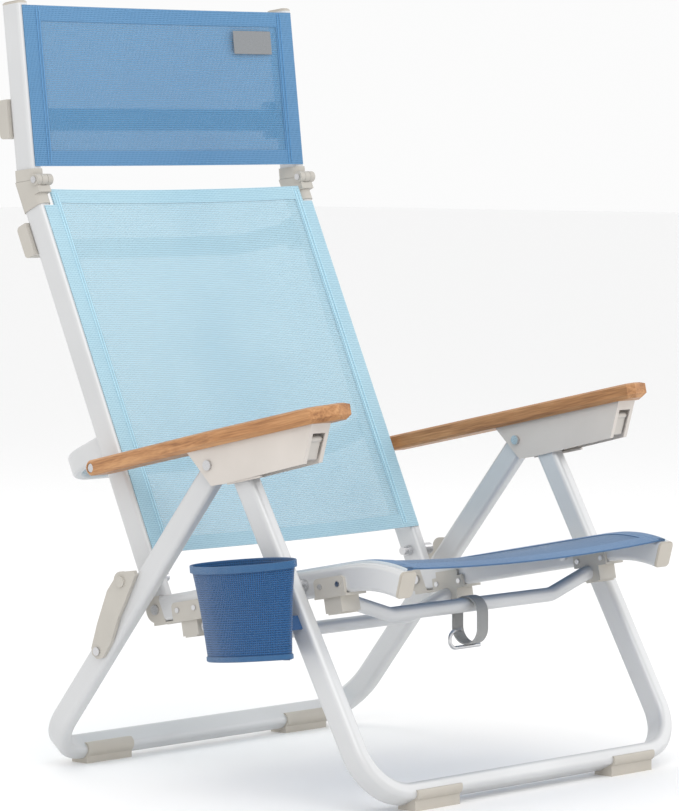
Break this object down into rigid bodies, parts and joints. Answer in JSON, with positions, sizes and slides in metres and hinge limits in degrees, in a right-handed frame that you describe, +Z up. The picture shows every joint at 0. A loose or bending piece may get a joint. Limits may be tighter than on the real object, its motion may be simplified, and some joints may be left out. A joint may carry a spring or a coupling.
{
  "type": "folding beach recliner chair",
  "caption": "Folding beach lounge chair with mesh sling seat and back, flip-down headrest, wooden arms and a side drink pouch.",
  "frame": {"origin": "on the floor, under the middle of the whole chair's bounding box", "axes": "+Z up, -Y is the way the chair faces, +X towards the right-hand arm seen from the front"},
  "size_m": [0.7016, 0.711, 0.9944],
  "materials": {
    "powder_coat": "satin pearl powder coat",
    "wood": "oiled",
    "grey_plastic": "moulded",
    "ivory_plastic": "moulded",
    "steel": "plain",
    "navy_mesh": "woven mesh",
    "aqua_mesh": "open mesh",
    "sky_mesh": "open mesh",
    "piping": "woven",
    "pouch_cloth": "woven",
    "webbing": "woven webbing",
    "patch": "plain patch"
  },
  "bodies": {
    "rear_legs": {"rear_leg_frame": "powder_coat", "rear_foot_left": "ivory_plastic", "rear_foot_right": "ivory_plastic", "rear_leg_bolts": "steel"},
    "arms": {"arm_left": "wood", "arm_right": "wood", "casing_left": "grey_plastic", "casing_right": "grey_plastic", "arm_bolts": "steel"},
    "lever_l": {"lever_left": "grey_plastic"},
    "lever_r": {"lever_right": "grey_plastic"},
    "slide_blocks": {"slide_blocks": "ivory_plastic"},
    "front_leg_pins": {"front_leg_pins": "steel"},
    "front_legs": {"front_leg_frame": "powder_coat", "front_foot_left": "ivory_plastic", "front_foot_right": "ivory_plastic", "front_leg_bolts": "steel", "pouch": "pouch_cloth", "pouch_straps": "webbing"},
    "back": {"back_tube_left": "powder_coat", "back_tube_right": "powder_coat", "back_bar_upper": "powder_coat", "back_bar_lower": "powder_coat", "back_bumpers": "grey_plastic", "back_screws": "steel", "back_sling": "aqua_mesh", "hinge_lower_left": "grey_plastic", "hinge_lower_right": "grey_plastic", "hinge_pins": "steel", "link_bolts": "steel"},
    "seat": {"seat_rail_left": "powder_coat", "seat_rail_right": "powder_coat", "rail_caps": "ivory_plastic", "seat_bracket_left": "grey_plastic", "seat_bracket_right": "grey_plastic", "seat_bolts": "steel", "seat_bar_front": "powder_coat", "seat_bar_rear": "powder_coat", "saddle_front_left": "grey_plastic", "saddle_front_right": "grey_plastic", "saddle_rear_left": "grey_plastic", "saddle_rear_right": "grey_plastic", "saddle_screws": "steel", "seat_sling": "navy_mesh", "seat_piping": "piping"},
    "strap": {"strap_loop": "webbing", "strap_hook": "steel"},
    "ring": {"rail_ring": "steel"},
    "link_screws": {"link_screws": "steel"},
    "links": {"link_left": "grey_plastic", "link_right": "grey_plastic"},
    "headrest": {"hinge_upper_left": "grey_plastic", "hinge_upper_right": "grey_plastic", "headrest_tube_left": "powder_coat", "headrest_tube_right": "powder_coat", "headrest_bar": "powder_coat", "headrest_bumpers": "grey_plastic", "headrest_caps": "ivory_plastic", "headrest_sling": "sky_mesh", "headrest_patch": "patch"}
  },
  "joints": [
    {"name": "recline", "type": "hinge", "parent": "rear_legs", "child": "arms", "pos_m": [0.0278, -0.07769, 0.41169], "axis": [-1, 0, 0], "range_deg": [0, 12.5]},
    {"name": "block_slide", "type": "slide", "parent": "arms", "child": "slide_blocks", "axis": [0, -0.9774, 0.2113], "range_m": [0, 0.032]},
    {"name": "front_pin_turn", "type": "hinge", "parent": "slide_blocks", "child": "front_leg_pins", "pos_m": [0.0278, -0.12069, 0.40206], "axis": [-1, 0, 0], "range_deg": [-12.6, 0.1]},
    {"name": "fold", "type": "hinge", "parent": "front_leg_pins", "child": "front_legs", "pos_m": [0.0278, -0.12069, 0.40206], "axis": [1, 0, 0], "range_deg": [0, 64]},
    {"name": "back_fold", "type": "hinge", "parent": "arms", "child": "back", "pos_m": [0.0278, 0.1439, 0.39549], "axis": [1, 0, 0], "range_deg": [-0.1, 48.6]},
    {"name": "seat_fold", "type": "hinge", "parent": "back", "child": "seat", "pos_m": [0.0278, 0.06293, 0.217], "axis": [1, 0, 0], "range_deg": [-50.1, 0.1]},
    {"name": "link_screw_turn", "type": "hinge", "parent": "rear_legs", "child": "link_screws", "pos_m": [0.0278, 0.1237, 0.163], "axis": [1, 0, 0], "range_deg": [-0.1, 28.1]},
    {"name": "link_fold", "type": "hinge", "parent": "link_screws", "child": "links", "pos_m": [0.0278, 0.1237, 0.163], "axis": [1, 0, 0], "range_deg": [-67.5, 0.1]},
    {"name": "headrest_fold", "type": "hinge", "parent": "back", "child": "headrest", "pos_m": [0.0278, 0.28447, 0.76107], "axis": [1, 0, 0], "range_deg": [0, 155]},
    {"name": "lever_left_pull", "type": "hinge", "parent": "arms", "child": "lever_l", "pos_m": [-0.2672, -0.24105, 0.4511], "axis": [1, 0, 0], "range_deg": [0, 14], "stiffness_Nm_per_rad": 0.4, "springref_deg": -5.73},
    {"name": "lever_right_pull", "type": "hinge", "parent": "arms", "child": "lever_r", "pos_m": [0.3228, -0.24105, 0.4511], "axis": [1, 0, 0], "range_deg": [0, 14], "stiffness_Nm_per_rad": 0.4, "springref_deg": -5.73},
    {"name": "strap_swing", "type": "hinge", "parent": "seat", "child": "strap", "pos_m": [0.0248, -0.23941, 0.22575], "axis": [1, 0, 0], "range_deg": [-20, 20]},
    {"name": "ring_swing", "type": "hinge", "parent": "seat", "child": "ring", "pos_m": [-0.2322, -0.02286, 0.21065], "axis": [0, -0.9816, 0.1908], "range_deg": [-40, 40]}
  ],
  "couplings": [
    {"joint": "block_slide", "follows": "recline", "m_per_rad": 0.14668},
    {"joint": "front_pin_turn", "follows": "recline", "ratio": -1},
    {"joint": "link_screw_turn", "follows": "recline", "ratio": 2.232},
    {"joint": "back_fold", "follows": "fold", "ratio": 0.756},
    {"joint": "seat_fold", "follows": "fold", "ratio": -0.78},
    {"joint": "link_fold", "follows": "fold", "ratio": -1.052}
  ]
}
